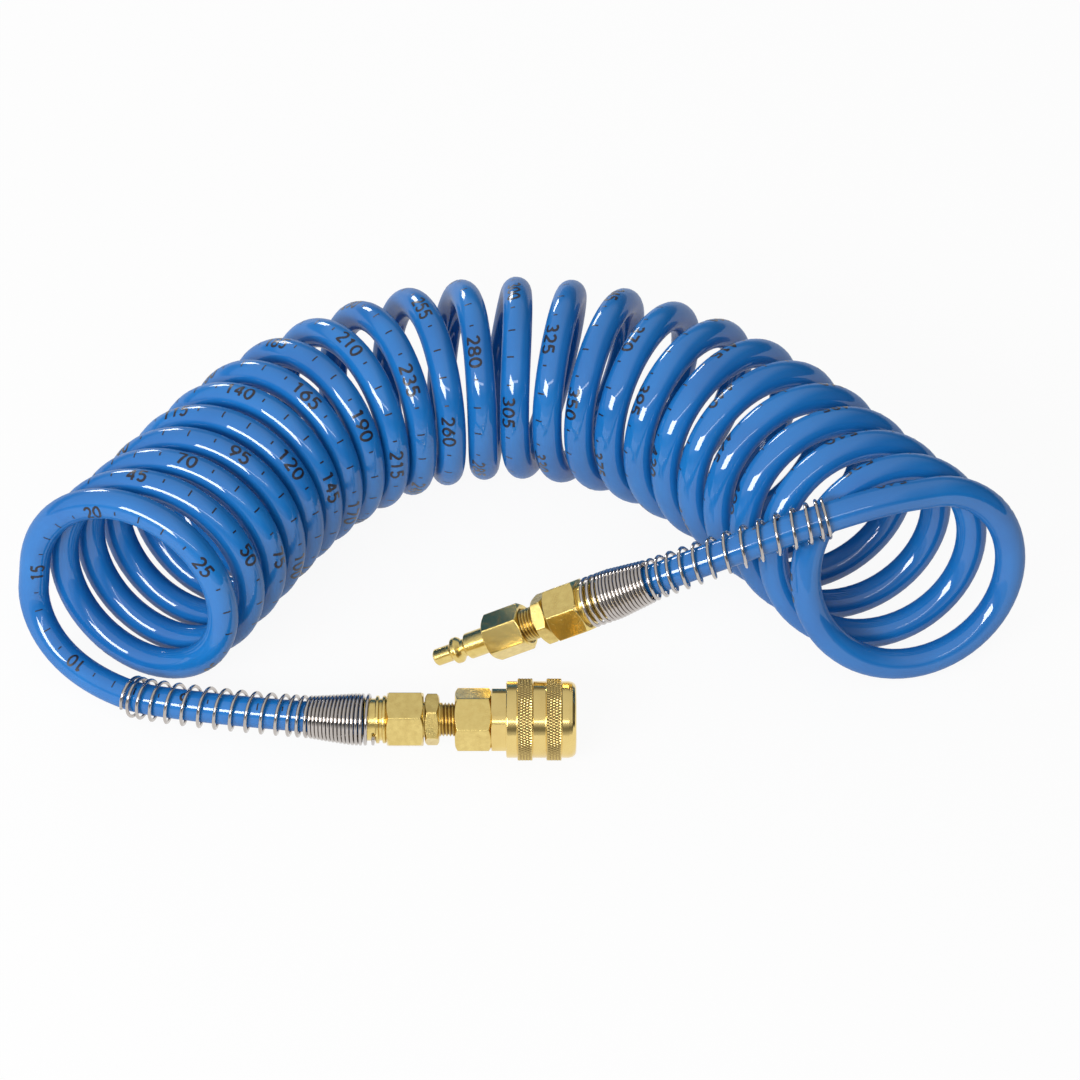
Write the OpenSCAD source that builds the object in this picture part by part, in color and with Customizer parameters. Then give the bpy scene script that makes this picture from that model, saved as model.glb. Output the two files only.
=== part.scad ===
// Coiled air hose with a quick coupler on one end and a plug on the other.
// Lengths are in millimetres and angles in degrees. Z is up, the hose stands
// on the plane z = 0, and its two ends point towards -Y.

/* [Hose] */
// Outside diameter of the tube
tube_od = 12; // [8:0.5:14]
// Bore of the tube
tube_id = 8; // [5:0.5:9]
// Mean diameter of one coil loop in the middle of the arch
loop_d = 72; // [60:1:90]
// Advance of the arch in one turn, at its middle
turn_step = 19.4; // [19.4:0.2:24]
// Clearance between the tube's end and the stem inside it
stem_fit = 0.05; // [0.02:0.01:0.1]

/* [Guard springs] */
// Wire diameter of the guard springs
wire_d = 1.3; // [1:0.1:1.6]
// Mean diameter of the open curls
guard_d = 15.5; // [15:0.25:18]
// Number of close curls next to the coupler's nut
close_curls = 12; // [8:1:16]
// Close curls that the plug's spring has more, and open curls it has fewer
curl_shift = 1; // [0:1:3]
// Step of the close curls
close_step = 2; // [1.95:0.05:2.2]
// Number of open curls behind the coupler's nut
open_curls = 13; // [8:1:16]
// Step of the open curls
open_step = 6; // [5:0.1:7]

/* [Hose nut] */
// Width across the flats of the hose nut
nut_af = 20.4; // [19.4:0.2:24]
// Length of the nut's hexagon
nut_len = 14.2; // [13:0.2:20]
// Diameter of the nut's round tail, which the spring grips
nut_tail_d = 16.4; // [15.5:0.1:17]
// Length of that tail
nut_tail_len = 9; // [6:0.5:11]
// Height of the two ridges round the tail of the coupler's nut
ridge_rise = 1.1; // [0.5:0.1:1.4]
// Clearance round the tube inside the nut
nut_fit = 0.2; // [0.1:0.05:0.3]

/* [Hose body] */
// Width across the flats of the thin hexagon
body_af = 18; // [16:0.5:20]
// Thickness of the thin hexagon
body_hex_len = 5.4; // [4:0.2:8]
// Gap between the nut and the thin hexagon
nut_gap = 0.6; // [0.3:0.1:1.5]
// Major diameter of the thread that takes the nut
nut_thread_d = 13.8; // [13:0.1:14.5]
// Major diameter of the outer pipe thread
pipe_thread_d = 13.16; // [12.5:0.02:13.6]
// Length of the outer pipe thread
pipe_thread_len = 13.2; // [12.4:0.2:14]
// Bore through the body
body_bore_d = 6; // [4:0.5:6.4]

/* [Coupler] */
// Width across the flats of the rear hexagon
rear_af = 21.5; // [19:0.5:24]
// Length of the rear hexagon
rear_len = 14.1; // [12:0.5:18]
// Thread left showing behind the rear hexagon
rear_thread_show = 6.2; // [4:0.2:7]
// Width across the flats of the front hexagon
front_af = 24; // [22:0.5:25]
// Diameter to which the front hexagon's corners are turned
front_turn_d = 26; // [25:0.25:26.5]
// Length of the front hexagon
front_hex_len = 7.2; // [6:0.2:9]
// Diameter of the barrel
barrel_d = 17.2; // [16.8:0.1:18]
// Bore of the barrel, which takes the plug
mouth_d = 10.8; // [10.7:0.05:11.2]
// Wall of the sliding sleeve where it passes over the front hexagon
sleeve_wall = 1.7; // [1.5:0.1:3]
// Height of the two knurled bands over the sleeve's plain part
knurl_rise = 1; // [0.6:0.1:1.6]
// Length of the sleeve
sleeve_len = 27.1; // [26.5:0.1:29]
// Width of one knurled band
knurl_w = 5.6; // [4:0.2:6.4]
// Backward travel of the sleeve
sleeve_travel = 3.5; // [2.5:0.1:4]
// Depth to which a locked ball stands into the mouth
ball_in = 1.1; // [1:0.05:1.2]
// Turn of the four lock balls about the axis
ball_turn = 45; // [0:5:90]
// Backward travel of the valve
valve_travel = 3.5; // [2:0.1:4]
// Running clearance of the sliding pieces
slide_fit = 0.05; // [0.03:0.01:0.08]

/* [Plug] */
// Diameter of the plug's tip
tip_d = 6.9; // [6:0.1:7]
// Length of the plug's tip
tip_len = 7.8; // [7:0.1:8]
// Diameter of the collar and of the stem behind the neck
collar_d = 10.6; // [9.8:0.1:10.6]
// Length of the collar
collar_len = 4.9; // [4.4:0.1:5.2]
// Diameter of the neck that the lock balls grip
neck_d = 7.2; // [6.8:0.1:8]
// Length of the neck
neck_len = 1.7; // [1.4:0.1:3]
// Length of the stem behind the neck
stem_len = 11.3; // [9:0.1:13]
// Width across the flats of the plug's hexagon
plug_af = 17; // [16:0.5:19]
// Length of the plug's hexagon
plug_hex_len = 16.4; // [12:0.1:18]
// Thread left showing behind the plug's hexagon
plug_thread_show = 6.4; // [4:0.2:8]
// Bore through the plug's tip
tip_bore_d = 4.6; // [3:0.2:5]

/* [Hidden] */

// Smoothness of turned pieces
round_fn = 72;
blue = [0.19, 0.5, 0.8];
brass = [0.85, 0.72, 0.38];
steel = [0.78, 0.78, 0.76];
black = [0.1, 0.1, 0.11];

// ---- Arch of the coil -------------------------------------------------
// k counts turns along the whole arch and u runs from -1 to 1 over it.
arch_turns = 23.5;
turn_shift = 14.25;
loops_scale = max(1, loop_d / 72, tube_od / 12);
origin_at = [16.82, -69.757];
walk_steps = 470;
walk_k = arch_turns / walk_steps;
function along(k) = 2 * k / arch_turns - 1;
// Heading of the arch's own line, seen from above
function arch_way(k) = let (u = along(k))
  4.4 - 113 * u + 70.2 * u * u * u - 5.5 * (u * u - 1 / 3);
// Heading of a loop's own axis, which lags the arch towards the ends
function loop_way(k) = let (u = along(k))
  -117.6 * u + 51.2 * u * u * u - 5.5 * (u * u - 1 / 3);
// Lean of a loop from the upright
function loop_lean(k) = let (u = along(k)) 2.8 - 16 * u - 8.6 * u * u;
// The end loops are wider than the middle ones
function loop_r(k) = let (u = along(k))
  loop_d / 2 * (1 + 0.005 * u + 0.095 * u * u);
// Advance for one turn: closer in the arch's legs than at its ends
function arch_step(k) = let (u = along(k), v = u * u)
  turn_step * loops_scale * (1 + 0.113 * u - 0.47 * v + 0.44 * v * v);
function flat_dir(a) = [cos(a), sin(a), 0];
// The arch's line, walked in small steps from one end
walk = [
  for (i = 0, p = [0, 0, 0]; i <= walk_steps;
    p = p + walk_k * arch_step((i + 0.5) * walk_k)
      * flat_dir(arch_way((i + 0.5) * walk_k)),
    i = i + 1) p
];
arch_mid = walk[walk_steps / 2] + [origin_at[0], origin_at[1], 0];
function arch_at(k) = let (
  s = min(max(k / walk_k, 0), walk_steps - 0.001),
  i = floor(s), f = s - i)
  walk[i] * (1 - f) + walk[i + 1] * f - arch_mid;
function loop_angle(k) = 360 * k - 90 + turn_shift;
// Point of the tube's centre line at turn k
function coil_at(k) = let (
  h = loop_way(k), l = loop_lean(k), r = loop_r(k), a = loop_angle(k),
  side = [-sin(h), cos(h), 0],
  up = cos(l) * [0, 0, 1] + sin(l) * flat_dir(h))
  arch_at(k) + [0, 0, r * cos(l) + tube_od / 2]
  + r * (cos(a) * side + sin(a) * up);
function loop_out(k) = let (
  h = loop_way(k), l = loop_lean(k), a = loop_angle(k),
  side = [-sin(h), cos(h), 0],
  up = cos(l) * [0, 0, 1] + sin(l) * flat_dir(h))
  cos(a) * side + sin(a) * up;
function unit(v) = v / norm(v);
k_eps = 0.002;
function coil_dir(k) = unit(coil_at(k + k_eps) - coil_at(k - k_eps));

// ---- Rings and skins --------------------------------------------------
// Ring of n corners round c, across direction t, with its first corner
// towards out; no corner lies below the floor.
function ring(c, t, out, r, n, turn = 0) = let (
  b = unit(cross(t, out)), e = cross(b, t))
  [for (j = [0 : n - 1]) let (
    a = 360 * j / n + turn,
    q = c + r * (cos(a) * e + sin(a) * b))
    [q[0], q[1], max(q[2], 0)]];
module skin(rings) {
  n = len(rings[0]);
  m = len(rings);
  points = [for (g = rings) each g];
  sides = [for (i = [0 : m - 2], j = [0 : n - 1])
    let (a = i * n + j, b = i * n + (j + 1) % n)
    each [[a, b, b + n], [a, b + n, a + n]]];
  starts = [for (j = [1 : n - 2]) [0, j + 1, j]];
  ends = [for (j = [1 : n - 2])
    [(m - 1) * n, (m - 1) * n + j, (m - 1) * n + j + 1]];
  polyhedron(points = points, faces = concat(sides, starts, ends));
}

// ---- Coil -------------------------------------------------------------
coil_k0 = (90 - turn_shift) / 360;
coil_k1 = (90 + 82 - turn_shift) / 360 + 23;
coil_sides = 6;
// Corner radius at which the section has the round tube's own area
coil_corner = tube_od / 2 * sqrt(3.1416 / (1.5 * sqrt(3)));
coil_rings = 420;
end_run = tube_od;
coil_start = coil_at(coil_k0);
coil_end = coil_at(coil_k1);
start_dir = -coil_dir(coil_k0);
end_dir = coil_dir(coil_k1);
start_face = coil_start + end_run * start_dir;
end_face = coil_end + end_run * end_dir;
function ring_k(i) = coil_k0 + (coil_k1 - coil_k0) * i / coil_rings;
coil_skin = concat(
  [ring(start_face, -start_dir, loop_out(coil_k0), coil_corner, coil_sides)],
  [for (i = [0 : coil_rings]) let (k = ring_k(i))
    ring(coil_at(k), coil_dir(k), loop_out(k), coil_corner, coil_sides)],
  [ring(end_face, end_dir, loop_out(coil_k1), coil_corner, coil_sides)]
);
// Least gap between a turn and the next, on the tube's centre line
function seg_gap(p, a, b) = let (
  d = b - a, t = min(max((p - a) * d / (d * d), 0), 1)) norm(p - a - t * d);
per_turn = coil_rings / (coil_k1 - coil_k0);
coil_line = [for (i = [0 : coil_rings]) coil_at(ring_k(i))];
coil_gap = min([for (i = [0 : coil_rings - ceil(per_turn) - 4])
  for (j = [floor(per_turn) - 3 : ceil(per_turn) + 3])
  seg_gap(coil_line[i], coil_line[i + j], coil_line[i + j + 1])]) - tube_od;
echo("least gap between coil turns", coil_gap);

// ---- Where the fittings lie -------------------------------------------
// The coupler lies on its knurled bands, square to the front. Offsets are
// from the coil's ends to the nuts' rear faces.
skirt_r = front_turn_d / 2 + 0.2;
plain_r = skirt_r + sleeve_wall;
band_r = plain_r + knurl_rise;
socket_off = [139.3, -57.4];
plug_off = [-134.1, -19.4];
socket_at = [
  coil_start[0] + socket_off[0], coil_start[1] + socket_off[1], band_r
];
socket_dir = [1, 0, 0];
// The plug hangs down from the coil and touches the floor with its tip.
plug_yaw = 177;
plug_dip = 29.9;
plug_dir = [
  cos(plug_yaw) * cos(plug_dip), sin(plug_yaw) * cos(plug_dip),
  -sin(plug_dip)
];
module on_socket() {
  translate(socket_at) rotate([0, 90, 0]) children();
}
module on_plug() {
  translate(plug_at) rotate([0, 0, plug_yaw])
    rotate([0, 90 + plug_dip, 0]) children();
}

// ---- Stations along a fitting's axis, from the nut's rear face --------
nut_bore_end = 9;
shoulder_at = 9.5;
hex_rear_at = nut_len + nut_gap;
hex_front_at = hex_rear_at + body_hex_len;
thread_end_at = hex_front_at + pipe_thread_len;
stem_at = 1.5;
stem_r = tube_id / 2;
thread_gap = 0.1;
rear_at = hex_front_at + rear_thread_show;
front_at = rear_at + rear_len;
tap_end_at = thread_end_at + 1.2;
front_hex_end = front_at + front_hex_len;
sleeve_rear_at = front_at + 5.7;
mouth_at = sleeve_rear_at + sleeve_len;
barrel_end = mouth_at - 1;
barrel_r = barrel_d / 2;
plug_hex_at = hex_front_at + plug_thread_show;
plug_hex_end = plug_hex_at + plug_hex_len;
stem_end = plug_hex_end + stem_len;
neck_end = stem_end + neck_len;
collar_end = neck_end + collar_len;
tip_end = collar_end + tip_len;
tip_chamfer = 0.8;
plug_at = [
  coil_end[0] + plug_off[0], coil_end[1] + plug_off[1],
  (tip_end - tip_chamfer) * sin(plug_dip) + tip_d / 2 * cos(plug_dip) + 0.1
];

// ---- Tails: curves from the coil's ends, straight inside the nuts ------
function curve(a, b, c, d, t) = let (s = 1 - t)
  s * s * s * a + 3 * s * s * t * b + 3 * s * t * t * c + t * t * t * d;
// The guard spring's free end lies on the floor, well behind the nut.
rest_off = [-100.3, 18.5];
rest_at = [
  socket_at[0] + rest_off[0], socket_at[1] + rest_off[1],
  guard_d / 2 + wire_d
];
rest_dir = unit([0.86, -0.48, 0.12]);
// Handles of the curves: lengths over which each end keeps its direction
coil_hold = 6;
floor_hold = 45;
rest_hold = 12;
nut_hold = 18;
hang_hold = 25;
plug_hold = 50;
socket_in = socket_at - nut_tail_len * socket_dir;
plug_in = plug_at - nut_tail_len * plug_dir;
floor_pts = [
  start_face, start_face + coil_hold * start_dir,
  rest_at - floor_hold * rest_dir, rest_at
];
guard_pts = [
  rest_at, rest_at + rest_hold * rest_dir,
  socket_in - nut_hold * socket_dir, socket_in
];
hang_pts = [
  end_face, end_face + hang_hold * end_dir,
  plug_in - plug_hold * plug_dir, plug_in
];
function run(p, n, skip) = [for (i = [skip : n])
  curve(p[0], p[1], p[2], p[3], i / n)];
socket_run = concat(
  run(floor_pts, 16, 0), run(guard_pts, 20, 1), [socket_at]);
plug_run = concat(run(hang_pts, 36, 0), [plug_at]);
function measured(p) = [for (i = 0, s = 0; i < len(p);
  s = s + (i + 1 < len(p) ? norm(p[i + 1] - p[i]) : 0), i = i + 1) s];
function table(p, s, c) = [for (i = [0 : len(p) - 1]) [s[i], p[i][c]]];
socket_s = measured(socket_run);
plug_s = measured(plug_run);
socket_table = [for (c = [0 : 2]) table(socket_run, socket_s, c)];
plug_table = [for (c = [0 : 2]) table(plug_run, plug_s, c)];
function run_at(t, s) = [for (c = [0 : 2]) lookup(s, t[c])];
run_eps = 0.5;
function run_dir(t, s, top, first, last) =
  s < run_eps ? first : s > top - run_eps ? last
  : unit(run_at(t, s + run_eps) - run_at(t, s - run_eps));
tail_sides = 10;
tail_rings = 34;
// A direction that neither tail ever runs along
tail_ref = [0.3, 0.95, 0.1];
function tail_skin(t, top, first, last) =
  [for (i = [0 : tail_rings]) let (
    s = top * i / tail_rings, d = run_dir(t, s, top, first, last))
    ring(run_at(t, s), d, cross(tail_ref, d), tube_od / 2, tail_sides)];
socket_top = socket_s[len(socket_s) - 1];
plug_top = plug_s[len(plug_s) - 1];
echo("tail lengths", socket_top, plug_top);

// ---- Guard springs ----------------------------------------------------
// Both springs have the same number of curls: some close, some open, and
// two at the free end that close again.
curls = close_curls + open_curls + 2;
curl_rings = 8;
wire_sides = 4;
wire_corner = wire_d / 2 * sqrt(3.1416 / 2);
guard_gap = 0.3;
// The coupler's nut has two ridges between its hexagon and the spring
ridge_w = 1.4;
ridge_step = 2.6;
socket_start = guard_gap + ridge_step + ridge_w + 0.1;
plug_start = guard_gap;
// Step of the curl that is q curls from the nut
function curl_step(q, close) = lookup(q, [
  [0, close_step], [close, close_step],
  [close + 1.5, open_step], [curls - 3, open_step],
  [curls - 2, close_step + 0.4], [curls, close_step + 0.1]
]);
curl_parts = 8;
function guard_walk(start, close) = [for (i = 0, s = start + wire_d / 2;
  i <= curls * curl_parts;
  s = s + curl_step((i + 0.5) / curl_parts, close) / curl_parts, i = i + 1)
  [i / curl_parts, s]];
socket_walk = guard_walk(socket_start, close_curls);
plug_walk = guard_walk(plug_start, close_curls + curl_shift);
echo("guard spring ends", lookup(curls, socket_walk),
  lookup(curls, plug_walk));
close_len = socket_start + close_curls * close_step;
far = 400;
grip_r = (nut_tail_d / 2 + wire_d / 2) / cos(180 / curl_rings);
function guard_r(s) = lookup(s, [
  [0, grip_r], [nut_tail_len + wire_d, grip_r],
  [close_len + 2, guard_d / 2], [far, guard_d / 2]
]);
lead = 2;
function guard_at(t, top, w, q) = let (
  s = lookup(q, w), c = run_at(t, top - s),
  d = unit(run_at(t, min(top - s + lead, top)) - run_at(t, top - s - lead)),
  n = unit(cross(d, [0, 0, 1])), b = cross(d, n))
  c + guard_r(s) * (cos(360 * q) * n + sin(360 * q) * b);
q_eps = 0.02;
function guard_skin(t, top, w) = [for (i = [0 : curls * curl_rings]) let (
  q = i / curl_rings, p = guard_at(t, top, w, q),
  d = unit(guard_at(t, top, w, min(q + q_eps, curls))
    - guard_at(t, top, w, max(q - q_eps, 0))),
  c = run_at(t, top - lookup(q, w)))
  ring(p, d, unit(p - c), wire_corner, wire_sides, 45)];
function line_gap(p, per, d) = min([for (i = [0 : len(p) - per - 4])
  for (j = [per - 2 : per + 1])
  seg_gap(p[i], p[i + j], p[i + j + 1])]) - d;
guard_line = [for (i = [0 : curls * curl_rings])
  guard_at(socket_table, socket_top, socket_walk, i / curl_rings)];
hang_line = [for (i = [0 : curls * curl_rings])
  guard_at(plug_table, plug_top, plug_walk, i / curl_rings)];
echo("least gap between guard curls", line_gap(guard_line, curl_rings, wire_d),
  line_gap(hang_line, curl_rings, wire_d));

// ---- Turned and hexagonal shapes --------------------------------------
// Turn of each hexagon about its axis, in degrees, as the wrench left it
socket_nut_turn = 40;
socket_body_turn = 27;
rear_turn = 3;
front_turn = 44;
plug_nut_turn = 10;
plug_body_turn = 53;
plug_turn = 34;
module turned(points) {
  rotate_extrude($fn = round_fn) polygon(points);
}
// Hexagon across the flats af between two stations, both ends chamfered
module hexagon(af, low, high, rim, turn = 0) {
  corner = af / sqrt(3);
  drop = (corner - rim) * 0.6;
  intersection() {
    translate([0, 0, low]) rotate([0, 0, turn])
      cylinder(r = corner, h = high - low, $fn = 6);
    turned([
      [0, low], [rim, low], [corner + 0.1, low + drop],
      [corner + 0.1, high - drop], [rim, high], [0, high]
    ]);
  }
}
module bore(r, low, high) {
  translate([0, 0, low]) cylinder(r = r, h = high - low, $fn = round_fn);
}

// ---- Hose -------------------------------------------------------------
module hose_coil() {
  color(blue) skin(coil_skin);
}
module socket_hose_tail() {
  color(blue) skin(tail_skin(socket_table, socket_top, start_dir,
    socket_dir));
}
module plug_hose_tail() {
  color(blue) skin(tail_skin(plug_table, plug_top, end_dir, plug_dir));
}
// The tube's end inside the nut, pushed over the stem
module hose_end() {
  color(blue) turned([
    [tube_id / 2 + stem_fit, 0], [tube_od / 2, 0],
    [tube_od / 2, shoulder_at - stem_fit],
    [tube_id / 2 + stem_fit, shoulder_at - stem_fit]
  ]);
}
module socket_hose_end() {
  on_socket() hose_end();
}
module plug_hose_end() {
  on_plug() hose_end();
}
module socket_guard_spring() {
  color(steel) skin(guard_skin(socket_table, socket_top, socket_walk));
}
module plug_guard_spring() {
  color(steel) skin(guard_skin(plug_table, plug_top, plug_walk));
}

// ---- Nut and hose body ------------------------------------------------
module hose_nut(ridges) {
  tube_r = tube_od / 2 + nut_fit;
  tail_r = nut_tail_d / 2;
  color(brass) difference() {
    union() {
      for (i = [0 : 1 : ridges - 1])
        translate([0, 0, -guard_gap - ridge_w - ridge_step * i]) turned([
          [tail_r - 0.2, 0], [tail_r + ridge_rise - 0.3, 0],
          [tail_r + ridge_rise, 0.3], [tail_r + ridge_rise, ridge_w - 0.3],
          [tail_r + ridge_rise - 0.3, ridge_w], [tail_r - 0.2, ridge_w]
        ]);
      hexagon(nut_af, 0, nut_len, nut_af / 2 - 0.2);
      turned([
        [0, -nut_tail_len], [tail_r - 0.4, -nut_tail_len],
        [tail_r, 0.4 - nut_tail_len], [tail_r, 1], [0, 1]
      ]);
    }
    bore(tube_r, -nut_tail_len - 1, nut_len);
    turned([
      [0, nut_bore_end], [tube_r, nut_bore_end],
      [nut_thread_d / 2 + thread_gap, nut_bore_end + 0.6],
      [nut_thread_d / 2 + thread_gap, nut_len + 1], [0, nut_len + 1]
    ]);
  }
}
module socket_hose_nut() {
  on_socket() rotate([0, 0, socket_nut_turn]) hose_nut(2);
}
module plug_hose_nut() {
  on_plug() rotate([0, 0, plug_nut_turn]) hose_nut(0);
}
// Barbed stem, shoulder, thin hexagon and pipe thread in one turned piece
module hose_body() {
  barb = [for (i = [0 : 2]) each [
    [stem_r - 0.35, stem_at + 2.2 * i + 0.6],
    [stem_r, stem_at + 2.2 * i + 2]
  ]];
  color(brass) difference() {
    union() {
      turned(concat(
        [[0, stem_at], [stem_r - 0.35, stem_at]], barb,
        [
          [stem_r - 0.2, shoulder_at], [nut_thread_d / 2 - 0.5, shoulder_at],
          [nut_thread_d / 2, shoulder_at + 0.6],
          [nut_thread_d / 2, hex_rear_at + 0.5], [0, hex_rear_at + 0.5]
        ]));
      hexagon(body_af, hex_rear_at, hex_front_at, body_af / 2 - 0.2);
      turned([
        [0, hex_front_at - 0.5], [pipe_thread_d / 2, hex_front_at - 0.5],
        [pipe_thread_d / 2, thread_end_at - 0.8],
        [pipe_thread_d / 2 - 0.8, thread_end_at], [0, thread_end_at]
      ]);
    }
    bore(body_bore_d / 2, stem_at - 1, thread_end_at + 1);
  }
}
module socket_hose_body() {
  on_socket() rotate([0, 0, socket_body_turn]) hose_body();
}
module plug_hose_body() {
  on_plug() rotate([0, 0, plug_body_turn]) hose_body();
}

// ---- Coupler ----------------------------------------------------------
tap_r = pipe_thread_d / 2 + slide_fit;
spigot_r = 8.2;
spigot_len = 5;
air_r = 4.5;
chamber_r = 6.4;
mouth_r = mouth_d / 2;
// The balls lie where the neck of a plug that is home lies, and the plug's
// tip then stands just behind the valve's seat.
ball_back = 8.1;
ball_at = mouth_at - ball_back;
tip_home = ball_at - neck_len / 2 - collar_len - tip_len;
seat_at = tip_home + 0.35;
seat_hole_r = tip_d / 2 + 0.45;
groove_at = seat_at + 1.3;
groove_len = 2.8;
groove_r = tip_d / 2 + 2.4;
guide_r = tip_d / 2 + 0.3;
bore_at = ball_at - neck_len / 2 - collar_len - 0.15;
// A locked ball reaches from inside the mouth to just over the barrel
ball_r = (barrel_r + 0.1 - mouth_r + ball_in) / 2;
ball_centre_r = mouth_r - ball_in + ball_r;
ball_lift = ball_in;
lock_slope = ball_lift / sleeve_travel;
seal_r = 0.7;
module coupler_rear_body() {
  color(brass) on_socket() difference() {
    union() {
      hexagon(rear_af, rear_at, front_at, rear_af / 2 - 0.1, rear_turn);
      turned([
        [0, front_at - 0.5], [spigot_r, front_at - 0.5],
        [spigot_r, front_at + spigot_len - 0.6],
        [spigot_r - 0.6, front_at + spigot_len], [0, front_at + spigot_len]
      ]);
    }
    turned([
      [0, rear_at - 1], [tap_r + 0.8, rear_at - 1], [tap_r + 0.8, rear_at],
      [tap_r, rear_at + 0.8], [tap_r, tap_end_at],
      [air_r, tap_end_at + 1.4], [air_r, front_at + 0.2],
      [chamber_r, front_at + 0.2], [chamber_r, front_at + spigot_len + 1],
      [0, front_at + spigot_len + 1]
    ]);
  }
}
module coupler_front_body() {
  ball_hole_r = ball_r + slide_fit;
  color(brass) on_socket() difference() {
    union() {
      hexagon(front_af, front_at, front_hex_end, front_turn_d / 2 - 0.6,
        front_turn);
      turned([
        [0, front_hex_end - 1], [barrel_r, front_hex_end - 1],
        [barrel_r, barrel_end - 0.8], [barrel_r - 0.8, barrel_end],
        [0, barrel_end]
      ]);
    }
    // Turns the hexagon's corners down to the sleeve's skirt
    difference() {
      bore(front_turn_d, front_at - 1, front_hex_end + 1);
      bore(front_turn_d / 2, front_at - 2, front_hex_end + 2);
    }
    // Screwed recess for the spigot, then the valve chamber
    turned([
      [0, front_at - 1], [spigot_r + 2, front_at - 1],
      [spigot_r + 2, front_at + 1.6], [spigot_r + slide_fit, front_at + 1.6],
      [spigot_r + slide_fit, front_at + spigot_len + 0.1],
      [chamber_r, front_at + spigot_len + 0.1], [chamber_r, seat_at],
      [seat_hole_r, seat_at], [seat_hole_r, groove_at],
      [groove_r, groove_at], [groove_r, groove_at + groove_len],
      [guide_r, groove_at + groove_len], [guide_r, bore_at],
      [mouth_r, bore_at + 0.6], [mouth_r, barrel_end - 1],
      [mouth_r + 0.8, barrel_end + 0.2], [0, barrel_end + 0.2]
    ]);
    for (i = [0 : 3]) rotate([0, 0, ball_turn + 90 * i])
      translate([0, 0, ball_at]) rotate([0, 90, 0])
        cylinder(r = ball_hole_r, h = barrel_r + 1, $fn = round_fn);
    // Groove of the stop ring
    difference() {
      bore(barrel_r + 1, ring_at - slide_fit, ring_at + ring_w + slide_fit);
      bore(barrel_r - 0.6, ring_at - 1, ring_at + ring_w + 1);
    }
  }
}
module body_seal() {
  color(black) on_socket() translate([0, 0, front_at + seal_r + 0.1])
    rotate_extrude($fn = round_fn) translate([spigot_r + 0.1 + seal_r, 0])
      circle(r = seal_r, $fn = 24);
}
module mouth_seal() {
  section = (groove_r - tip_d / 2) / 2 - 0.05;
  color(black) on_socket() translate([0, 0, groove_at + groove_len / 2])
    rotate_extrude($fn = round_fn) translate([groove_r - section, 0])
      circle(r = section, $fn = 24);
}

// Stations of the sleeve's inside: skirt, spring pocket, land and cone
spring_in_r = barrel_r + 0.6;
spring_out_r = spring_in_r + 1.6;
pocket_at = front_hex_end + sleeve_travel + 0.6;
pocket_r = spring_out_r + 0.8;
land_at = ball_at - 6.5;
land_r = barrel_r + slide_fit;
lock_angle = atan(lock_slope);
cone_r = ball_centre_r + (ball_r + slide_fit) / cos(lock_angle);
cone_at = ball_at - (cone_r - land_r) / lock_slope;
nose_r = land_r + (mouth_at - 2 - cone_at) * lock_slope;
ring_w = 1;
ring_at = ball_at + ball_r + 0.9;
ring_r = land_r + (ring_at - cone_at) * lock_slope - slide_fit;
band_1_at = sleeve_rear_at + 4.5;
band_step = 11.2;
band_2_at = band_1_at + band_step;
edge = 0.4;
module lock_sleeve() {
  plain = plain_r;
  band = band_r;
  nose = sleeve_len - (band_2_at + knurl_w - sleeve_rear_at);
  color(brass) on_socket() turned([
    [skirt_r, sleeve_rear_at], [plain - edge, sleeve_rear_at],
    [plain, sleeve_rear_at + edge], [plain, band_1_at - edge],
    [band, band_1_at], [band, band_1_at + knurl_w],
    [plain, band_1_at + knurl_w + edge], [plain, band_2_at - edge],
    [band, band_2_at], [band, band_2_at + knurl_w],
    [plain, band_2_at + knurl_w + edge],
    [plain, mouth_at - 0.5 * nose], [plain - 0.35, mouth_at - 0.25 * nose],
    [plain - 1.1, mouth_at - 0.08 * nose], [plain - 2, mouth_at],
    [nose_r + 0.4, mouth_at], [nose_r, mouth_at - 0.4],
    [nose_r, mouth_at - 2], [land_r, cone_at], [land_r, land_at],
    [pocket_r, land_at], [pocket_r, pocket_at], [skirt_r, pocket_at]
  ]);
}
// The sleeve's spring stands between the front hexagon and the land
module sleeve_spring() {
  color(steel) on_socket() turned([
    [spring_in_r, front_hex_end + 0.1], [spring_out_r, front_hex_end + 0.1],
    [spring_out_r, land_at - 0.1], [spring_in_r, land_at - 0.1]
  ]);
}
module sleeve_stop_ring() {
  color(steel) on_socket() turned([
    [barrel_r - 0.55, ring_at], [ring_r, ring_at],
    [ring_r, ring_at + ring_w], [barrel_r - 0.55, ring_at + ring_w]
  ]);
}
module lock_ball(i) {
  color(steel) on_socket() rotate([0, 0, ball_turn + 90 * i])
    translate([ball_centre_r, 0, ball_at]) sphere(r = ball_r, $fn = 32);
}
module lock_ball_1() { lock_ball(0); }
module lock_ball_2() { lock_ball(1); }
module lock_ball_3() { lock_ball(2); }
module lock_ball_4() { lock_ball(3); }

// Poppet: guided head, seal ring, nose through the seat and rear stem
poppet_r = 5.2;
poppet_nose_r = tip_d / 2 - 1;
head_len = 2.4;
seal_len = 1;
head_at = seat_at - seal_len - head_len;
// The rear stem guides the spring over the valve's whole travel
valve_stem = valve_travel + 0.5;
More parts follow.
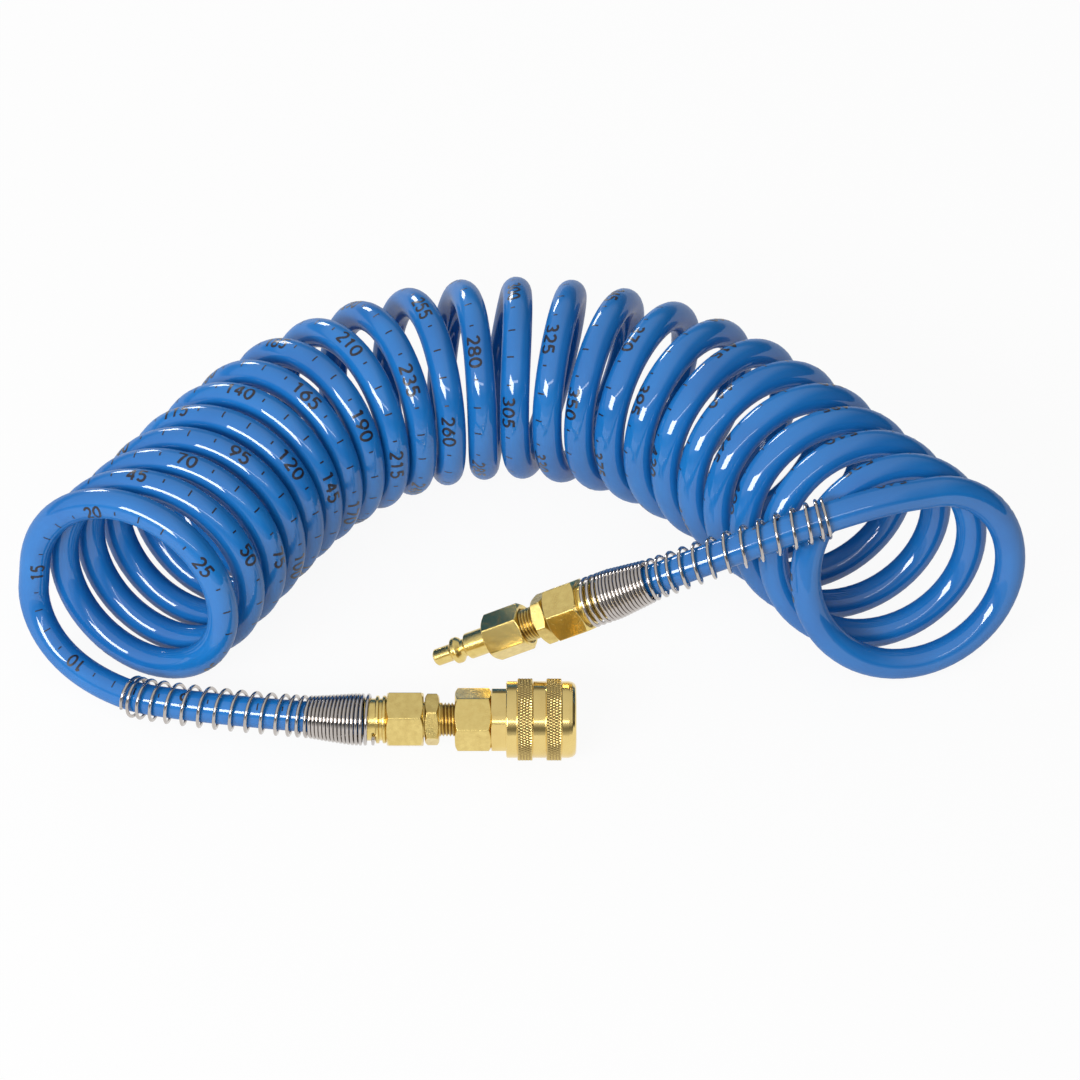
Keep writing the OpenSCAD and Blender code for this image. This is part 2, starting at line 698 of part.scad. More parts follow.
// A plug that is home holds the nose back by the valve's whole travel
poppet_end = tip_home + valve_travel;
module valve_poppet() {
  color(brass) on_socket() {
    turned([
      [0, head_at - valve_stem], [2.1, head_at - valve_stem],
      [2.4, head_at - valve_stem + 0.4],
      [2.4, head_at], [poppet_r, head_at], [poppet_r, seat_at - seal_len],
      [3.4, seat_at - seal_len], [3.4, seat_at - 0.1],
      [poppet_nose_r, seat_at + 0.2], [poppet_nose_r, poppet_end - 0.5],
      [poppet_nose_r - 0.5, poppet_end], [0, poppet_end]
    ]);
    // Four guide ribs run in the chamber
    intersection() {
      turned([
        [poppet_r - 1, head_at], [chamber_r - slide_fit, head_at],
        [chamber_r - slide_fit, head_at + head_len],
        [poppet_r - 1, head_at + head_len]
      ]);
      for (i = [0 : 1]) rotate([0, 0, 90 * i])
        translate([-chamber_r - 1, -1.2, head_at])
          cube([2 * chamber_r + 2, 2.4, head_len]);
    }
  }
}
module valve_seal() {
  color(black) on_socket() turned([
    [3.45, seat_at - seal_len + 0.02], [poppet_r, seat_at - seal_len + 0.02],
    [poppet_r, seat_at - 0.05], [3.45, seat_at - 0.05]
  ]);
}
module valve_spring() {
  color(steel) on_socket() turned([
    [3, front_at + 0.3], [4.3, front_at + 0.3],
    [4.3, head_at - 0.05], [3, head_at - 0.05]
  ]);
}

// ---- Plug -------------------------------------------------------------
module plug_nipple() {
  collar_r = collar_d / 2;
  neck_r = neck_d / 2;
  tip_r = tip_d / 2;
  flank = 1.3;
  color(brass) on_plug() difference() {
    union() {
      hexagon(plug_af, plug_hex_at, plug_hex_end, plug_af / 2 - 0.1,
        plug_turn);
      turned([
        [0, plug_hex_end - 1], [collar_r, plug_hex_end - 1],
        [collar_r, stem_end - 1.2], [neck_r, stem_end],
        [neck_r, neck_end], [collar_r - 0.3, neck_end + flank],
        [collar_r, neck_end + flank + 0.4],
        [collar_r, collar_end - flank - 0.2],
        [tip_r, collar_end], [tip_r, tip_end - tip_chamfer],
        [tip_r - tip_chamfer, tip_end], [0, tip_end]
      ]);
    }
    turned([
      [0, plug_hex_at - 1], [tap_r + 0.8, plug_hex_at - 1],
      [tap_r + 0.8, plug_hex_at], [tap_r, plug_hex_at + 0.8],
      [tap_r, tap_end_at], [tip_bore_d / 2, tap_end_at + 2],
      [tip_bore_d / 2, tip_end + 1], [0, tip_end + 1]
    ]);
  }
}

hose_coil();
socket_hose_tail();
plug_hose_tail();
socket_hose_end();
plug_hose_end();
socket_guard_spring();
plug_guard_spring();
socket_hose_nut();
plug_hose_nut();
socket_hose_body();
plug_hose_body();
coupler_rear_body();
coupler_front_body();
body_seal();
mouth_seal();
lock_sleeve();
sleeve_spring();
sleeve_stop_ring();
lock_ball_1();
lock_ball_2();
lock_ball_3();
lock_ball_4();
valve_poppet();
valve_seal();
valve_spring();
plug_nipple();
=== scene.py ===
import math
import bpy
import numpy as np
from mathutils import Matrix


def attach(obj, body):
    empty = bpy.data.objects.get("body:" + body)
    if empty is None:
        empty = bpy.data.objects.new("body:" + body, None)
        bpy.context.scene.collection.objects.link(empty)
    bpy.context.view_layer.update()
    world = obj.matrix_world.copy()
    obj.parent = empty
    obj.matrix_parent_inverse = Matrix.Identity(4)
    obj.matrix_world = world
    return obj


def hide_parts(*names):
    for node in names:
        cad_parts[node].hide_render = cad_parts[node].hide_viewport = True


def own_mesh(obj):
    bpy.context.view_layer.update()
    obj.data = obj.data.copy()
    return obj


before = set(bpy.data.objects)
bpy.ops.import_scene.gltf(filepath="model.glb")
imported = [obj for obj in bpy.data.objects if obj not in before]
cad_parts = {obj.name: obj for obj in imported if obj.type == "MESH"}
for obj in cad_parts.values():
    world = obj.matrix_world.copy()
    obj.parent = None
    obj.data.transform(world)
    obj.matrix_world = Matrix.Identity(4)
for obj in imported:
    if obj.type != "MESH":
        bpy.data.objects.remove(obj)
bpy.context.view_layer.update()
mm = 0.001  # shapes are worked out in millimetres, and meshes hold metres
print("frame loaded:", len(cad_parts), "nodes")


def unit(v):
    # every vector divided by its own length
    return v / np.linalg.norm(v, axis=-1, keepdims=True)


def across(v, t):
    # v with its share along t taken out, made one long
    return unit(v - np.sum(v * t, axis=-1, keepdims=True) * t)


def fillMesh(name, points, corners, sizes):
    # every face's corners in one row, and how many of them each face takes
    mesh = bpy.data.meshes.new(name)
    mesh.vertices.add(len(points))
    mesh.vertices.foreach_set("co", (points * mm).astype(np.float32).ravel())
    mesh.loops.add(len(corners))
    mesh.loops.foreach_set("vertex_index", corners.astype(np.int32))
    mesh.polygons.add(len(sizes))
    starts = np.concatenate([[0], np.cumsum(sizes)[:-1]])
    mesh.polygons.foreach_set("loop_start", starts.astype(np.int32))
    mesh.polygons.foreach_set("loop_total", sizes.astype(np.int32))
    return mesh


def gridMesh(name, grid, closeAlong=False, uv=None):
    # rows of points become rings: corner (i, j) joins (i, j+1), (i+1, j+1)
    # and (i+1, j); the last column joins the first one, and so does the last
    # row where the grid is closed along; if not, one flat face ends each side
    rows, cols = grid.shape[:2]
    i = np.arange(rows if closeAlong else rows - 1)[:, None]
    j = np.arange(cols)[None, :]
    iNext, jNext = (i + 1) % rows, (j + 1) % cols
    quads = np.stack([i * cols + j, i * cols + jNext,
                      iNext * cols + jNext, iNext * cols + j], -1).reshape(-1, 4)
    corners = quads.ravel()
    sizes = np.full(len(quads), 4)
    if not closeAlong:
        first = np.arange(cols)[::-1]
        last = (rows - 1) * cols + np.arange(cols)
        corners = np.concatenate([corners, first, last])
        sizes = np.concatenate([sizes, [cols, cols]])
    mesh = fillMesh(name, grid.reshape(-1, 3), corners, sizes)
    mesh.polygons.foreach_set("use_smooth", np.arange(len(sizes)) < len(quads))
    if uv is not None:
        # the seam column takes the value one turn further on
        u = np.concatenate([uv[..., 0], uv[:, :1, 0] + 2 * math.pi], 1)
        v = np.concatenate([uv[..., 1], uv[:, :1, 1]], 1)
        iFlat, jFlat = [x.ravel() for x in np.broadcast_arrays(i, j)]
        corner = [(iFlat, jFlat), (iFlat, jFlat + 1),
                  (iFlat + 1, jFlat + 1), (iFlat + 1, jFlat)]
        values = np.stack([np.stack([u[a, b], v[a, b]], -1)
                           for a, b in corner], 1).reshape(-1, 2)
        full = np.zeros((len(corners), 2), np.float32)
        full[:len(values)] = values
        layer = mesh.uv_layers.new(name="SurfaceMap")
        layer.uv.foreach_set("vector", full.ravel())
    mesh.update(calc_edges=True)
    mesh.validate()
    return mesh


def addPiece(name, mesh, material, body, replaced=()):
    # a mesh with one finish, riding on a body and standing for solids of the frame
    piece = bpy.data.objects.new(name, mesh)
    bpy.context.scene.collection.objects.link(piece)
    mesh.materials.append(material)
    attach(piece, body)
    if replaced:
        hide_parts(*replaced)
    return piece


def newGroup(name, inputs, outputs):
    # inputs are label, kind and value; outputs are label and kind
    group = bpy.data.node_groups.new(name, "ShaderNodeTree")
    for label, kind, value in inputs:
        item = group.interface.new_socket(name=label, in_out="INPUT", socket_type=kind)
        item.default_value = value
    for label, kind in outputs:
        group.interface.new_socket(name=label, in_out="OUTPUT", socket_type=kind)
    start = group.nodes.new("NodeGroupInput")
    end = group.nodes.new("NodeGroupOutput")
    return group, start, end


def feed(tree, socket, value):
    # a number is set on the socket, and an output is linked to it
    if isinstance(value, (int, float)):
        socket.default_value = value
    else:
        tree.links.new(value, socket)


def addMath(tree, operation, a, b=None, clamp=False):
    # one step of arithmetic on a, or on a and b
    node = tree.nodes.new("ShaderNodeMath")
    node.operation = operation
    node.use_clamp = clamp
    feed(tree, node.inputs[0], a)
    if b is not None:
        feed(tree, node.inputs[1], b)
    return node.outputs[0]


def addMap(tree, value, low, high, toLow, toHigh):
    # low becomes toLow, high becomes toHigh, with a straight line between
    node = tree.nodes.new("ShaderNodeMapRange")
    for key, number in (("From Min", low), ("From Max", high), ("To Min", toLow),
                        ("To Max", toHigh), ("Value", value)):
        feed(tree, node.inputs[key], number)
    return node.outputs["Result"]


def addMix(tree, factor, first, second):
    # the first colour at 0, the second at 1
    node = tree.nodes.new("ShaderNodeMix")
    node.data_type = "RGBA"
    for key, output in (("Factor", factor), ("A", first), ("B", second)):
        tree.links.new(output, node.inputs[key])
    return node.outputs["Result"]


# how the two noises of a finish are read: their detail, the range in which a
# blotch fades in, and the range in which roughness goes from low to high
wear = dict(detail={"Blotch Size": 3.0, "Grain Size": 4.0}, fade=(0.35, 0.7),
            roughFrom=(0.12, 0.4))


# blotches and fine grain on Object coordinates, for every finish: a blotch mixes
# in the dark colour, and both noises multiplied set the roughness
def buildSurfaceGroup():
    group, start, end = newGroup(
        "surfaceWear",
        [("Colour", "NodeSocketColor", (0.5, 0.5, 0.5, 1)),
         ("Dark", "NodeSocketColor", (0.2, 0.2, 0.2, 1)),
         ("Blotch Size", "NodeSocketFloat", 60.0),
         ("Grain Size", "NodeSocketFloat", 900.0),
         ("Blotch Amount", "NodeSocketFloat", 0.5),
         ("Rough Low", "NodeSocketFloat", 0.2),
         ("Rough High", "NodeSocketFloat", 0.4)],
        [("Colour", "NodeSocketColor"), ("Roughness", "NodeSocketFloat"),
         ("Height", "NodeSocketFloat")])
    links = group.links
    place = group.nodes.new("ShaderNodeTexCoord").outputs["Object"]
    noises = []
    for socket, detail in wear["detail"].items():
        node = group.nodes.new("ShaderNodeTexNoise")
        node.inputs["Detail"].default_value = detail
        links.new(place, node.inputs["Vector"])
        links.new(start.outputs[socket], node.inputs["Scale"])
        noises.append(node.outputs["Fac"])
    blotch = addMap(group, noises[0], *wear["fade"], 0.0, 1.0)
    amount = addMath(group, "MULTIPLY", blotch, start.outputs["Blotch Amount"])
    links.new(addMix(group, amount, start.outputs["Colour"], start.outputs["Dark"]),
              end.inputs["Colour"])
    both = addMath(group, "MULTIPLY", noises[0], noises[1])
    rough = addMap(group, both, *wear["roughFrom"], start.outputs["Rough Low"],
                   start.outputs["Rough High"])
    links.new(rough, end.inputs["Roughness"])
    links.new(noises[1], end.inputs["Height"])
    return group


# painted shade: the bottom of a cut is painted darker, in the groove shade colour; its
# depth is kept on every corner of the mesh
def buildGrooveGroup():
    group, start, end = newGroup(
        "grooveShade",
        [("Colour", "NodeSocketColor", (0.5, 0.5, 0.5, 1)),
         ("Painted Groove Shade", "NodeSocketColor", (0.2, 0.1, 0.05, 1))],
        [("Colour", "NodeSocketColor")])
    depth = group.nodes.new("ShaderNodeAttribute")
    depth.attribute_name = "cutDepth"
    group.links.new(addMix(group, depth.outputs["Fac"], start.outputs["Colour"],
                           start.outputs["Painted Groove Shade"]), end.inputs["Colour"])
    return group


surfaceGroup = buildSurfaceGroup()
grooveGroup = buildGrooveGroup()


def makeFinish(name, values):
    # the groups feed colour, roughness and bump, and the rest is on the shader
    material = bpy.data.materials.new(name)
    material.use_nodes = True
    tree = material.node_tree
    shader = tree.nodes["Principled BSDF"]
    surface = tree.nodes.new("ShaderNodeGroup")
    surface.node_tree = surfaceGroup
    surface.inputs["Colour"].default_value = (*values["colour"], 1)
    surface.inputs["Dark"].default_value = (*values["dark"], 1)
    roughLow, roughHigh = values["rough"]
    for socket, number in (("Blotch Size", values["blotchSize"]),
                           ("Grain Size", values["grainSize"]),
                           ("Blotch Amount", values["blotch"]),
                           ("Rough Low", roughLow), ("Rough High", roughHigh)):
        surface.inputs[socket].default_value = number
    colour = surface.outputs["Colour"]
    # painted shade: where a finish has a groove colour, it darkens the bottom of its
    # threads and knurls
    if "groove" in values:
        groove = tree.nodes.new("ShaderNodeGroup")
        groove.node_tree = grooveGroup
        groove.inputs["Painted Groove Shade"].default_value = (*values["groove"], 1)
        tree.links.new(colour, groove.inputs["Colour"])
        colour = groove.outputs["Colour"]
    tree.links.new(colour, shader.inputs["Base Color"])
    tree.links.new(surface.outputs["Roughness"], shader.inputs["Roughness"])
    for socket, number in (("Metallic", values["metal"]),
                           ("Coat Weight", values.get("coat", 0.0)),
                           ("Coat Roughness", values.get("coatRough", 0.05)),
                           ("Coat IOR", values.get("coatIor", 1.5)),
                           ("Specular IOR Level", values.get("specular", 0.5))):
        shader.inputs[socket].default_value = number
    bump = tree.nodes.new("ShaderNodeBump")
    bump.inputs["Distance"].default_value = values["bumpDepth"]
    bump.inputs["Strength"].default_value = values["bump"]
    tree.links.new(surface.outputs["Height"], bump.inputs["Height"])
    tree.links.new(bump.outputs["Normal"], shader.inputs["Normal"])
    return material


# groove is the colour of painted shade at the bottom of a cut thread or knurl
finishes = {
    "hoseBlue": dict(colour=(0.010, 0.170, 0.505), dark=(0.008, 0.108, 0.37),
                     blotchSize=25, grainSize=700, blotch=0.6, rough=(0.34, 0.46),
                     metal=0.0, specular=0.06, coat=0.2, coatRough=0.03,
                     coatIor=3.4, bump=0.05, bumpDepth=0.0002),
    "turnedBrass": dict(colour=(0.85, 0.65, 0.25), dark=(0.70, 0.48, 0.16),
                        blotchSize=160, grainSize=5200, blotch=0.35,
                        rough=(0.11, 0.19), metal=1.0, bump=0.1,
                        bumpDepth=0.00005, groove=(0.10, 0.05, 0.015)),
    "sawnBrass": dict(colour=(0.80, 0.62, 0.22), dark=(0.58, 0.41, 0.13),
                      blotchSize=420, grainSize=3000, blotch=0.6,
                      rough=(0.24, 0.38), metal=1.0, bump=0.5,
                      bumpDepth=0.00008, groove=(0.2, 0.11, 0.04)),
    "roughBrass": dict(colour=(0.83, 0.645, 0.235), dark=(0.62, 0.44, 0.14),
                       blotchSize=420, grainSize=3200, blotch=0.5,
                       rough=(0.15, 0.28), metal=1.0, bump=0.35,
                       bumpDepth=0.00008),
    "nickelWire": dict(colour=(0.56, 0.52, 0.49), dark=(0.36, 0.32, 0.29),
                       blotchSize=160, grainSize=2500, blotch=0.35,
                       rough=(0.07, 0.14), metal=1.0, bump=0.04,
                       bumpDepth=0.0001),
    "hardSteel": dict(colour=(0.72, 0.72, 0.73), dark=(0.55, 0.55, 0.56),
                      blotchSize=160, grainSize=2500, blotch=0.4,
                      rough=(0.1, 0.2), metal=1.0, bump=0.05,
                      bumpDepth=0.0001),
    "sealRubber": dict(colour=(0.012, 0.012, 0.013), dark=(0.03, 0.03, 0.03),
                       blotchSize=200, grainSize=1800, blotch=0.5,
                       rough=(0.45, 0.65), metal=0.0, bump=0.2,
                       bumpDepth=0.0001),
    "printInk": dict(colour=(0.006, 0.007, 0.016), dark=(0.012, 0.016, 0.04),
                     blotchSize=500, grainSize=1800, blotch=0.6,
                     rough=(0.3, 0.45), metal=0.0, coat=0.3, bump=0.05,
                     bumpDepth=0.00005),
}
materials = {name: makeFinish(name, values) for name, values in finishes.items()}
print("finishes made:", len(materials))


# the arch's headings, lean, radius and step are sums of powers of u, which runs
# from -1 to 1 over the arch; angles in degrees, the others as shares
tube = dict(diameter=12.0, loopRadius=36.0, turnStep=19.4, turns=23.5,
            turnShift=14.25, startTurn=(90 - 14.25) / 360,
            endTurn=(172 - 14.25) / 360 + 23, origin=(16.82, -69.757),
            archHeading=(4.4 + 5.5 / 3, -113, -5.5, 70.2),
            loopHeading=(5.5 / 3, -117.6, -5.5, 51.2), lean=(2.8, -16, -8.6),
            radiusShare=(1, 0.005, 0.095), stepShare=(1, 0.113, -0.47, 0, 0.44),
            archSteps=4700, ringStep=3.5, turnRings=66, sides=24, endRun=12.0,
            tailPoints=90, mapLength=100.0)


def powerSum(k, terms):
    # each term times u to its own power, with u from -1 to 1 over the arch
    return np.polynomial.polynomial.polyval(2 * k / tube["turns"] - 1, terms)


def loopWay(k):
    # heading of a loop, in radians
    return np.radians(powerSum(k, tube["loopHeading"]))


def loopLean(k):
    # how far a loop leans along its heading, in radians
    return np.radians(powerSum(k, tube["lean"]))


def loopRadius(k):
    # the middle loop's radius times its share
    return tube["loopRadius"] * powerSum(k, tube["radiusShare"])


def archLine(k):
    # the sum of small steps, each along its heading, shifted to the arch's middle
    steps = tube["archSteps"]
    dk = tube["turns"] / steps
    mid = (np.arange(steps) + 0.5) * dk
    step = tube["turnStep"] * powerSum(mid, tube["stepShare"]) * dk
    way = np.radians(powerSum(mid, tube["archHeading"]))
    x = np.concatenate([[0], np.cumsum(step * np.cos(way))])
    y = np.concatenate([[0], np.cumsum(step * np.sin(way))])
    at = np.arange(steps + 1) * dk
    x -= x[steps // 2] + tube["origin"][0]
    y -= y[steps // 2] + tube["origin"][1]
    return np.interp(k, at, x), np.interp(k, at, y)


def loopOut(k):
    # cosine of the turn times the loop's side, plus sine times its leaning up
    h, l = loopWay(k), loopLean(k)
    a = 2 * np.pi * k + np.radians(tube["turnShift"] - 90)
    side = np.stack([-np.sin(h), np.cos(h), 0 * h], -1)
    up = np.stack([np.sin(l) * np.cos(h), np.sin(l) * np.sin(h), np.cos(l)], -1)
    return np.cos(a)[..., None] * side + np.sin(a)[..., None] * up


def coilAt(k):
    # arch's line, raised by the loop's height, plus radius times outwards
    k = np.atleast_1d(k)
    x, y = archLine(k)
    r = loopRadius(k)
    base = np.stack([x, y, r * np.cos(loopLean(k)) + tube["diameter"] / 2], -1)
    return base + r[:, None] * loopOut(k)


def coilDir(k, near=0.002):
    # from a point just before to a point just after
    return unit(coilAt(k + near) - coilAt(k - near))


def bezier(points, n):
    # cubic curve: the four points weighted by (1-t) and t to the third power
    t = np.linspace(0, 1, n)[:, None]
    s = 1 - t
    a, b, c, d = [np.asarray(p, float) for p in points]
    return s ** 3 * a + 3 * s * s * t * b + 3 * s * t * t * c + t ** 3 * d


coilStart = coilAt(tube["startTurn"])[0]
coilEnd = coilAt(tube["endTurn"])[0]
startDir = -coilDir(tube["startTurn"])[0]
endDir = coilDir(tube["endTurn"])[0]
startFace = coilStart + tube["endRun"] * startDir
endFace = coilEnd + tube["endRun"] * endDir

# both fittings: where each nut's rear face is from the coil's end, which way its
# axis points, where the socket's tail lies on the floor, and how far each end of
# a tail's curve pulls
fittings = dict(socketX=139.3, socketY=-57.4, socketZ=15.9, plugX=-134.1,
                plugY=-19.4, plugYaw=177, plugDip=29.9, tipEnd=68.7,
                tipChamfer=0.8, tipRadius=3.45, tipGap=0.1, nutTail=9.0,
                rest=(-100.3, 18.5, 9.05), restWay=(0.86, -0.48, 0.12),
                coilPull=(6, 45), socketPull=(12, 18), plugPull=(25, 50))
socketAt = np.array([coilStart[0] + fittings["socketX"],
                     coilStart[1] + fittings["socketY"], fittings["socketZ"]])
socketDir = np.array([1.0, 0, 0])
yaw, dip = math.radians(fittings["plugYaw"]), math.radians(fittings["plugDip"])
plugDir = np.array([math.cos(yaw) * math.cos(dip), math.sin(yaw) * math.cos(dip),
                    -math.sin(dip)])
plugAt = np.array([coilEnd[0] + fittings["plugX"], coilEnd[1] + fittings["plugY"],
                   (fittings["tipEnd"] - fittings["tipChamfer"]) * math.sin(dip)
                   + fittings["tipRadius"] * math.cos(dip) + fittings["tipGap"]])
restX, restY, restZ = fittings["rest"]
restAt = np.array([socketAt[0] + restX, socketAt[1] + restY, restZ])
restDir = unit(np.array(fittings["restWay"]))
socketIn = socketAt - fittings["nutTail"] * socketDir
plugIn = plugAt - fittings["nutTail"] * plugDir


def tailCurve(start, startWay, end, endWay, pulls, count):
    # a cubic curve pulled along its own direction at each end
    return bezier([start, start + pulls[0] * startWay, end - pulls[1] * endWay, end],
                  count)


# inside the nuts the tube is straight
nutSteps = np.array([0.25, 0.5, 0.75, 1.0])[:, None]
tailPoints = tube["tailPoints"]
socketTail = np.concatenate([
    tailCurve(startFace, startDir, restAt, restDir, fittings["coilPull"], tailPoints),
    tailCurve(restAt, restDir, socketIn, socketDir, fittings["socketPull"],
              tailPoints)[1:],
    socketIn + nutSteps * (socketAt - socketIn)])
plugTail = np.concatenate([
    tailCurve(endFace, endDir, plugIn, plugDir, fittings["plugPull"], 2 * tailPoints),
    plugIn + nutSteps * (plugAt - plugIn)])


def lineLength(points):
    # the way along the line to each point: the sum of the steps up to it
    return np.concatenate([[0], np.cumsum(
        np.linalg.norm(np.diff(points, axis=0), axis=1))])


def resample(points, at):
    # the points that lie so far along the line
    s = lineLength(points)
    return np.stack([np.interp(at, s, points[:, c]) for c in range(3)], -1)


def lineDirs(points):
    # each point's direction: from the point before it to the point after it
    return unit(np.gradient(points, axis=0))


def carried(first, dirs):
    # carries a direction along the line, taking out what turns along it
    out = np.zeros_like(dirs)
    v = first
    for i, t in enumerate(dirs):
        v = v - np.dot(v, t) * t
        v = v / np.linalg.norm(v)
        out[i] = v
    return out


kLine = np.linspace(tube["startTurn"], tube["endTurn"],
                    int((tube["endTurn"] - tube["startTurn"])
                        * tube["turnRings"]))
coilLine = coilAt(kLine)
coilOut = loopOut(kLine)


def evenLine(tail):
    # the tail's points, about one ring's step apart
    length = lineLength(tail)[-1]
    return resample(tail, np.linspace(0, length, int(length / tube["ringStep"]) + 1))


socketLine, plugLine = evenLine(socketTail), evenLine(plugTail)
runSteps = np.array([0.33, 0.66])[:, None]
startRun = coilStart + runSteps * (startFace - coilStart)
endRun = coilEnd + runSteps * (endFace - coilEnd)
hoseLine = np.concatenate([socketLine[::-1], startRun[::-1], coilLine,
                           endRun, plugLine])
hoseDirs = lineDirs(hoseLine)
hoseDirs[0], hoseDirs[-1] = -socketDir, plugDir
before = len(socketLine) + len(runSteps)
after = before + len(coilLine)
hoseOut = np.zeros_like(hoseLine)
hoseOut[before:after] = across(coilOut, hoseDirs[before:after])
hoseOut[:before] = carried(hoseOut[before], hoseDirs[:before][::-1])[::-1]
hoseOut[after:] = carried(hoseOut[after - 1], hoseDirs[after:])
hoseSide = np.cross(hoseDirs, hoseOut)
hoseRun = lineLength(hoseLine)
hoseLength = hoseRun[-1]
print("hose length: %.1f mm" % hoseLength)


def tubeGrid(line, out, side, radius, sides):
    # a circle of the tube's radius round each point of its line
    a = np.linspace(0, 2 * np.pi, sides, endpoint=False)
    return (line[:, None] + radius * (np.cos(a)[None, :, None] * out[:, None]
            + np.sin(a)[None, :, None] * side[:, None])), a


hoseGrid, hoseAngles = tubeGrid(hoseLine, hoseOut, hoseSide,
                                tube["diameter"] / 2, tube["sides"])
hoseUv = np.stack(np.broadcast_arrays(hoseAngles[None, :],
                                      hoseRun[:, None] / tube["mapLength"]),
                  -1)
hoseTube = addPiece("hoseTube", gridMesh("hoseTube", hoseGrid, uv=hoseUv),
                    materials["hoseBlue"], "hose",
                    ("hose_coil", "socket_hose_tail", "plug_hose_tail"))
print("tube made:", len(hoseLine), "rings")


# the scale: lengths in millimetres, and the turn round the tube at which it lies
printMarks = dict(step=10.0, every=5, height=5.0, stroke=1.0, turn=0.35,
                  lift=0.04, shortTick=1.7, longTick=3.0, tickWidth=0.55,
                  first=30.0, last=40.0, tailTurn=2.3, turnFrom=190.0,
                  turnTo=330.0, piece=0.55, figureStep=0.82, figureIn=0.1,
                  figureWidth=0.95)


def roundStroke(cx, cy, rx, ry, a0, a1, count):
    # part of an ellipse: its centre plus each radius times cosine and sine
    a = np.radians(np.linspace(a0, a1, count))
    return np.stack([cx + rx * np.cos(a), cy + ry * np.sin(a)], -1)


# each figure as strokes in a box 0.6 wide and 1 high
figures = {
    "0": [roundStroke(0.3, 0.5, 0.3, 0.5, 0, 360, 20)],
    "1": [np.array([[0.1, 0.78], [0.34, 1.0], [0.34, 0.0]])],
    "2": [np.concatenate([roundStroke(0.3, 0.7, 0.28, 0.3, 160, -35, 9),
                          [[0.02, 0.0], [0.6, 0.0]]])],
    "3": [np.concatenate([roundStroke(0.28, 0.75, 0.26, 0.25, 150, -90, 9),
                          roundStroke(0.28, 0.26, 0.3, 0.26, 90, -150, 9)])],
    "4": [np.array([[0.45, 0.0], [0.45, 1.0], [0.0, 0.3], [0.62, 0.3]])],
    "5": [np.concatenate([[[0.55, 1.0], [0.1, 1.0], [0.06, 0.55]],
                          roundStroke(0.28, 0.32, 0.3, 0.32, 120, -150, 10)])],
    "6": [np.concatenate([[[0.48, 1.0]],
                          roundStroke(0.3, 0.32, 0.3, 0.32, 140, 500, 16)])],
    "7": [np.array([[0.0, 1.0], [0.6, 1.0], [0.22, 0.0]])],
    "8": [roundStroke(0.3, 0.26, 0.3, 0.26, 0, 360, 16),
          roundStroke(0.3, 0.76, 0.25, 0.24, 0, 360, 16)],
    "9": [np.concatenate([roundStroke(0.3, 0.68, 0.3, 0.32, -40, 320, 16),
                          [[0.14, 0.0]]])],
}


def ribbon(points, width):
    # a flat band: the line moved half its width to either side, in short pieces
    s = lineLength(points)
    count = max(2, int(s[-1] / printMarks["piece"]) + 1)
    at = np.linspace(0, s[-1], count)
    p = np.stack([np.interp(at, s, points[:, c]) for c in range(2)], -1)
    d = unit(np.gradient(p, axis=0))
    aside = np.stack([-d[:, 1], d[:, 0]], -1) * width / 2
    return np.stack([p - aside, p, p + aside], 1)


def markRibbons(m):
    # ticks at every step, and a figure in centimetres at every fifth one
    bands = []
    wide = m["figureStep"] * m["height"]
    for i in range(int((hoseLength - m["first"] - m["last"]) / m["step"]) + 1):
        s = m["first"] + i * m["step"]
        if i % m["every"] == 0:
            text = str(int(round(i * m["step"] / 10)))
            left = s - wide * len(text) / 2 + m["figureIn"] * m["height"]
            for c, letter in enumerate(text):
                corner = np.array([left + c * wide, -m["height"] / 2])
                size = m["height"] * np.array([m["figureWidth"], 1.0])
                bands += [ribbon(stroke * size + corner, m["stroke"])
                          for stroke in figures[letter]]
        else:
            tall = m["longTick"] if i % m["every"] in (2, 3) else m["shortTick"]
            tick = np.array([[s, -tall / 2], [s, tall / 2]])
            bands.append(ribbon(tick, m["tickWidth"]))
    return bands


def wrapBands(bands, m):
    # flat x runs along the tube, and flat y, divided by its radius, round it
    radius = tube["diameter"] / 2
    faces, offset = [], 0
    j = np.arange(2)[None, :]
    for band in bands:
        i = offset + np.arange(len(band) - 1)[:, None] * 3 + j
        faces.append(np.stack([i, i + 1, i + 4, i + 3], -1).reshape(-1, 4))
        offset += len(band) * 3
    s, y = np.concatenate([band.reshape(-1, 2) for band in bands]).T
    centre, out, side = [
        np.stack([np.interp(s, hoseRun, line[:, c]) for c in range(3)], -1)
        for line in (hoseLine, hoseOut, hoseSide)]
    turn = np.interp(s, [m["turnFrom"], m["turnTo"]], [m["tailTurn"], m["turn"]])
    a = (turn - y / radius)[:, None]
    points = centre + (radius + m["lift"]) * (np.cos(a) * unit(out)
                                              + np.sin(a) * unit(side))
    return points, np.concatenate(faces)


markPoints, markFaces = wrapBands(markRibbons(printMarks), printMarks)
markMesh = fillMesh("hoseScale", markPoints, markFaces.ravel(),
                    np.full(len(markFaces), 4))
markMesh.update(calc_edges=True)
addPiece("hoseScale", markMesh, materials["printInk"], "hose")
print("scale printed:", len(markFaces), "faces")


# steps: the length that one curl takes, at so many curls from the nut
guard = dict(wire=1.4, openDiameter=15.5, gripDiameter=19.0, gripLength=13.0,
             taperEnd=29.5, rings=30, sides=10, reach=2.0,
             ends={"socket": dict(start=4.4, curls=30, steps=[
                       (0, 3.1), (0.8, 3.0), (1.6, 1.6), (2.4, 1.46), (15.4, 1.46),
                       (16.2, 3.1), (18.2, 4.0), (19, 5.8), (21, 6.1), (25, 6.7),
                       (26, 6.5), (27, 5.8), (28, 4.3), (29, 2.6), (30, 1.9)]),
                   "plug": dict(start=0.3, curls=30, steps=[
                       (0, 2.8), (2.6, 2.5), (3.6, 1.5), (4, 1.46), (15.6, 1.46),
                       (16.4, 3.4), (18, 4.2), (19, 5.2), (21, 5.9), (23, 6.9),
                       (25, 6.9), (27, 6.2), (28, 4.6), (29, 2.6), (30, 1.9)])})


